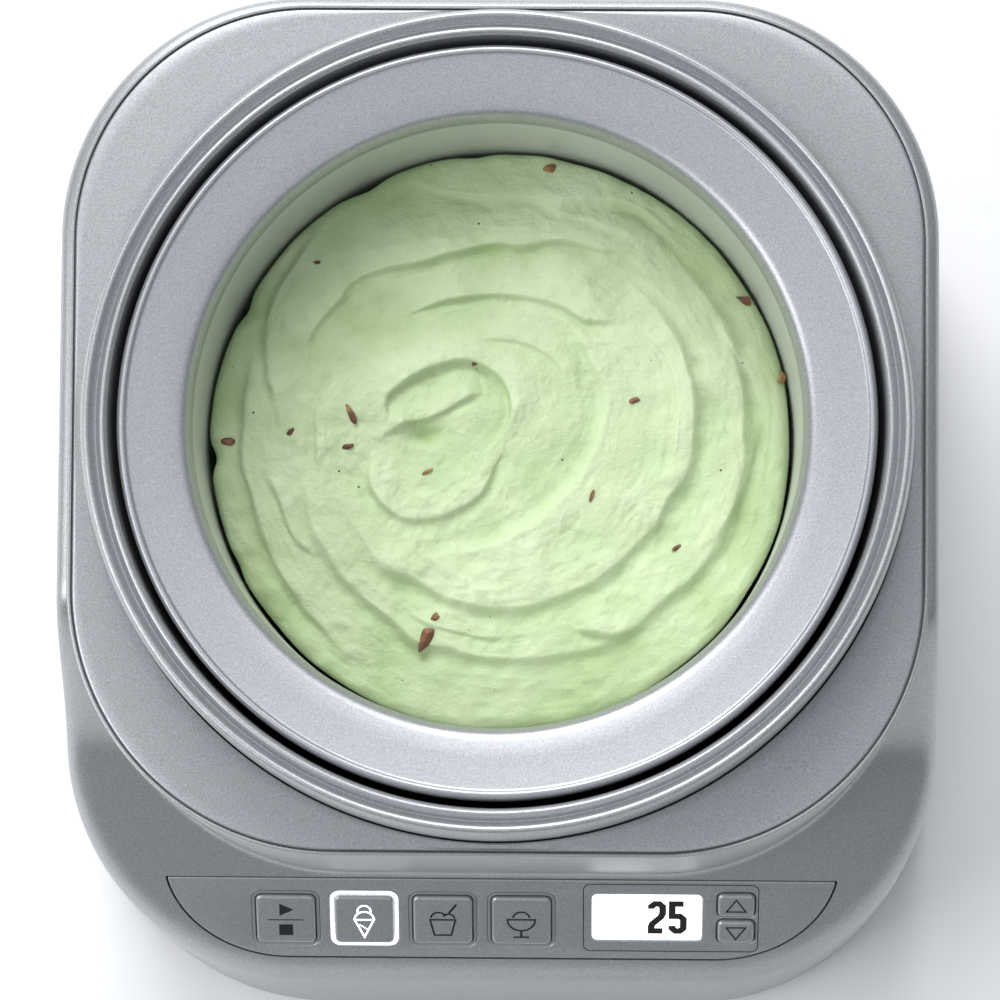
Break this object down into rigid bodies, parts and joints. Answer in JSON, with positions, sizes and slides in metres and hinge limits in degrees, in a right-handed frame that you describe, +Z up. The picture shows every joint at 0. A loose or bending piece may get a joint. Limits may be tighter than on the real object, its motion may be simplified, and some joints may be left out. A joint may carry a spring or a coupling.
{
  "type": "ice cream maker",
  "caption": "Electronic ice cream maker: rounded silver housing with a sloping key and display panel, turning freezer bowl and pistachio ice cream.",
  "frame": {"origin": "centre of the bounding box at the table, under the rubber feet", "axes": "+Z up, -Y towards the user and the control panel, +X to the right as the user sees it"},
  "size_m": [0.234, 0.2506, 0.218],
  "materials": {
    "silver_body": "satin",
    "silver_cover": "satin",
    "silver_well": "satin",
    "pan_plastic": "matte",
    "foot_rubber": "matte",
    "screw_steel": "satin",
    "grommet_rubber": "matte",
    "seal_rubber": "matte",
    "plate_steel": "satin",
    "pin_steel": "gloss",
    "bush_bronze": "satin",
    "hub_plastic": "matte",
    "gear_nylon": "satin",
    "core_steel": "matte",
    "bobbin_plastic": "matte",
    "copper_wire": "gloss",
    "bracket_steel": "satin",
    "rotor_steel": "satin",
    "pinion_brass": "satin",
    "silver_panel": "satin",
    "guide_acrylic": "gloss",
    "key_silver": "satin",
    "window_acrylic": "gloss",
    "lcd_white": "gloss",
    "backlight_white": "matte",
    "board_laminate": "satin",
    "chip_black": "matte",
    "transformer_black": "matte",
    "capacitor_blue": "gloss",
    "relay_blue": "gloss",
    "terminal_green": "matte",
    "cable_black": "satin",
    "lead_red": "satin",
    "bowl_silver": "satin",
    "liner_aluminium": "satin",
    "gel_blue": "gloss",
    "bowl_foot_plastic": "satin",
    "pistachio_ice_cream": "satin"
  },
  "bodies": {
    "base": {"outer_housing": "silver_body", "top_cover": "silver_cover", "bowl_well": "silver_well", "base_pan": "pan_plastic", "rubber_feet": "foot_rubber", "base_screws": "screw_steel", "cord_grommet": "grommet_rubber", "shaft_seal": "seal_rubber", "gearbox_top_plate": "plate_steel", "gearbox_bottom_plate": "plate_steel", "gearbox_screws": "screw_steel", "gear_pins": "pin_steel", "output_bushes": "bush_bronze", "stator_core": "core_steel", "coil_bobbin": "bobbin_plastic", "motor_coil": "copper_wire", "motor_brackets": "bracket_steel", "motor_bearings": "bush_bronze", "motor_screws": "screw_steel", "control_panel": "silver_panel", "key_light_guides": "guide_acrylic", "display_window": "window_acrylic", "lcd_module": "lcd_white", "backlight": "backlight_white", "control_board": "board_laminate", "board_screws": "screw_steel", "key_switches": "chip_black", "board_chips": "chip_black", "power_board": "board_laminate", "transformer": "transformer_black", "capacitors": "capacitor_blue", "relay": "relay_blue", "terminal_block": "terminal_green", "board_harness": "cable_black", "motor_leads": "lead_red"},
    "turntable": {"output_shaft": "pin_steel", "drive_hub": "hub_plastic", "output_gear": "gear_nylon"},
    "middle_idler": {"middle_gear": "gear_nylon"},
    "first_idler": {"first_gear": "gear_nylon"},
    "motor_rotor": {"rotor": "rotor_steel", "rotor_shaft": "pin_steel", "motor_pinion": "pinion_brass"},
    "freezer_bowl": {"bowl_shell": "bowl_silver", "bowl_liner": "liner_aluminium", "cooling_gel": "gel_blue", "bowl_base": "bowl_foot_plastic"},
    "dessert": {"ice_cream": "pistachio_ice_cream"},
    "start_stop_button": {"start_stop_key": "key_silver"},
    "ice_cream_button": {"ice_cream_key": "key_silver"},
    "gelato_button": {"gelato_key": "key_silver"},
    "sorbet_button": {"sorbet_key": "key_silver"},
    "time_up_button": {"time_up_key": "key_silver"},
    "time_down_button": {"time_down_key": "key_silver"}
  },
  "joints": [
    {"name": "bowl_spin", "type": "hinge", "parent": "base", "child": "turntable", "pos_m": [0, 0.0102, 0.03], "axis": [0, 0, 1], "continuous": true},
    {"name": "middle_gear_spin", "type": "hinge", "parent": "base", "child": "middle_idler", "pos_m": [-0.01213, -0.03508, 0.03], "axis": [0, 0, 1], "continuous": true},
    {"name": "first_gear_spin", "type": "hinge", "parent": "base", "child": "first_idler", "pos_m": [0.01197, -0.0638, 0.03], "axis": [0, 0, 1], "continuous": true},
    {"name": "motor_spin", "type": "hinge", "parent": "base", "child": "motor_rotor", "pos_m": [0.04197, -0.0638, 0.03], "axis": [0, 0, 1], "continuous": true},
    {"name": "bowl_lift", "type": "slide", "parent": "turntable", "child": "freezer_bowl", "axis": [0, 0, 1], "range_m": [0, 0.17]},
    {"name": "ice_cream_lift", "type": "slide", "parent": "freezer_bowl", "child": "dessert", "axis": [0, 0, 1], "range_m": [0, 0.15]},
    {"name": "start_stop_press", "type": "slide", "parent": "base", "child": "start_stop_button", "axis": [0, 0.6428, -0.766], "range_m": [0, 0.0008], "stiffness_N_per_m": 500, "springref_m": -0.001},
    {"name": "ice_cream_press", "type": "slide", "parent": "base", "child": "ice_cream_button", "axis": [0, 0.6428, -0.766], "range_m": [0, 0.0008], "stiffness_N_per_m": 500, "springref_m": -0.001},
    {"name": "gelato_press", "type": "slide", "parent": "base", "child": "gelato_button", "axis": [0, 0.6428, -0.766], "range_m": [0, 0.0008], "stiffness_N_per_m": 500, "springref_m": -0.001},
    {"name": "sorbet_press", "type": "slide", "parent": "base", "child": "sorbet_button", "axis": [0, 0.6428, -0.766], "range_m": [0, 0.0008], "stiffness_N_per_m": 500, "springref_m": -0.001},
    {"name": "time_up_press", "type": "slide", "parent": "base", "child": "time_up_button", "axis": [0, 0.6428, -0.766], "range_m": [0, 0.0008], "stiffness_N_per_m": 500, "springref_m": -0.001},
    {"name": "time_down_press", "type": "slide", "parent": "base", "child": "time_down_button", "axis": [0, 0.6428, -0.766], "range_m": [0, 0.0008], "stiffness_N_per_m": 500, "springref_m": -0.001}
  ],
  "couplings": [
    {"joint": "middle_gear_spin", "follows": "bowl_spin", "ratio": -4},
    {"joint": "first_gear_spin", "follows": "bowl_spin", "ratio": 16},
    {"joint": "motor_spin", "follows": "bowl_spin", "ratio": -64}
  ]
}
